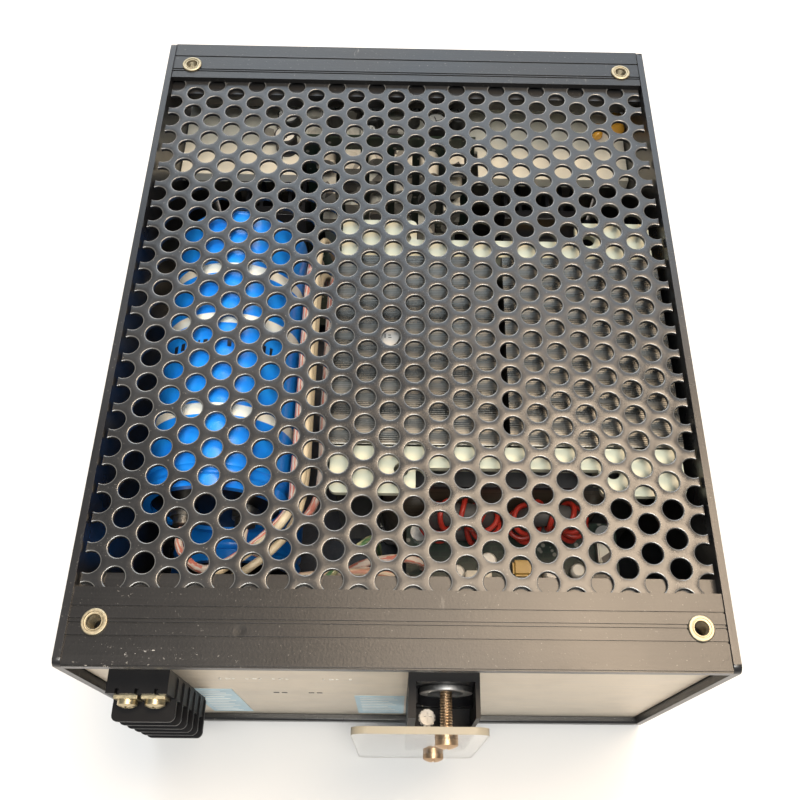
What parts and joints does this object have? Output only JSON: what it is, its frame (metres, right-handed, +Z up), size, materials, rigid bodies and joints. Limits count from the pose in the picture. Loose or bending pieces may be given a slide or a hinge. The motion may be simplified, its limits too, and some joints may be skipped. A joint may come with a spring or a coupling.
{
  "type": "mesh case switching power supply",
  "caption": "Black extruded case with a perforated cover, a screw terminal strip and a bolted output terminal in front, and capacitors, a laminated transformer and wired boards inside.",
  "frame": {"origin": "centre of the plane that the two side plates' lower edges stand on", "axes": "+X to the right seen from the terminals, +Y from the terminals to the rear, +Z up to the perforated cover"},
  "size_m": [0.167, 0.2273, 0.1051],
  "materials": {
    "black_aluminium": "satin black anodised and painted, worn at the edges",
    "bare_sheet": "satin, slightly warm",
    "brass": "satin",
    "black_screw": "satin black oxide",
    "strip_plastic": "matte moulded",
    "terminal_zinc": "satin, yellow passivated",
    "housing_plastic": "matte moulded",
    "ring_metal": "tinned, satin",
    "clear_cover": "clear cream plastic",
    "sleeve_blue": "glossy shrink sleeve",
    "disc_black": "matte",
    "tinned_metal": "satin",
    "saddle_plastic": "matte moulded",
    "core_steel": "laminated, varnished",
    "bobbin_plastic": "matte moulded",
    "winding_wrap": "wrapped in dark tape",
    "frame_plastic": "off-white moulded",
    "foot_steel": "satin",
    "board_laminate": "solder-masked",
    "post_metal": "satin",
    "heatsink_black": "black anodised",
    "package_black": "matte",
    "film_block": "satin moulded",
    "can_metal": "satin",
    "relay_plastic": "satin moulded",
    "tape_yellow": "taped",
    "choke_core": "sintered powder, coated",
    "choke_wire": "red insulated wire",
    "lead_beige": "satin insulation",
    "lead_red": "satin insulation",
    "lead_green": "satin insulation",
    "lead_pink": "satin insulation",
    "lead_cream": "satin insulation",
    "control_laminate": "solder-masked",
    "package_cream": "satin moulded",
    "bracket_metal": "satin"
  },
  "bodies": {
    "root": {"front_top_rail": "black_aluminium", "rear_top_rail": "black_aluminium", "front_bottom_rail": "black_aluminium", "rear_bottom_rail": "black_aluminium", "left_side_plate": "black_aluminium", "right_side_plate": "black_aluminium", "mesh_cover": "black_aluminium", "base_sheet": "bare_sheet", "front_panel": "bare_sheet", "rear_panel": "bare_sheet", "threaded_inserts": "brass", "side_screws": "black_screw", "input_terminal_strip": "strip_plastic", "input_terminal_clamps": "terminal_zinc", "input_terminal_screws": "terminal_zinc", "output_terminal_housing": "housing_plastic", "output_contact_rings": "ring_metal", "output_earth_screw": "terminal_zinc", "terminal_cover": "clear_cover", "terminal_cover_screws": "brass", "capacitor_cans": "sleeve_blue", "capacitor_end_discs": "disc_black", "capacitor_terminals": "tinned_metal", "capacitor_saddles": "saddle_plastic", "transformer_cores": "core_steel", "transformer_bobbin": "bobbin_plastic", "transformer_winding": "winding_wrap", "transformer_end_frames": "frame_plastic", "transformer_feet": "foot_steel", "rear_board": "board_laminate", "rear_board_posts": "post_metal", "rear_heatsinks": "heatsink_black", "power_transistors": "package_black", "film_capacitors": "film_block", "filter_capacitors": "can_metal", "relay": "relay_plastic", "yellow_transformer": "tape_yellow", "front_board": "board_laminate", "front_board_posts": "post_metal", "choke_cores": "choke_core", "choke_windings": "choke_wire", "neutral_leads": "lead_beige", "live_leads": "lead_red", "earth_lead": "lead_green", "capacitor_leads": "lead_pink", "output_leads": "lead_cream", "control_board": "control_laminate", "control_parts": "package_cream", "control_brackets": "bracket_metal"}
  },
  "joints": []
}
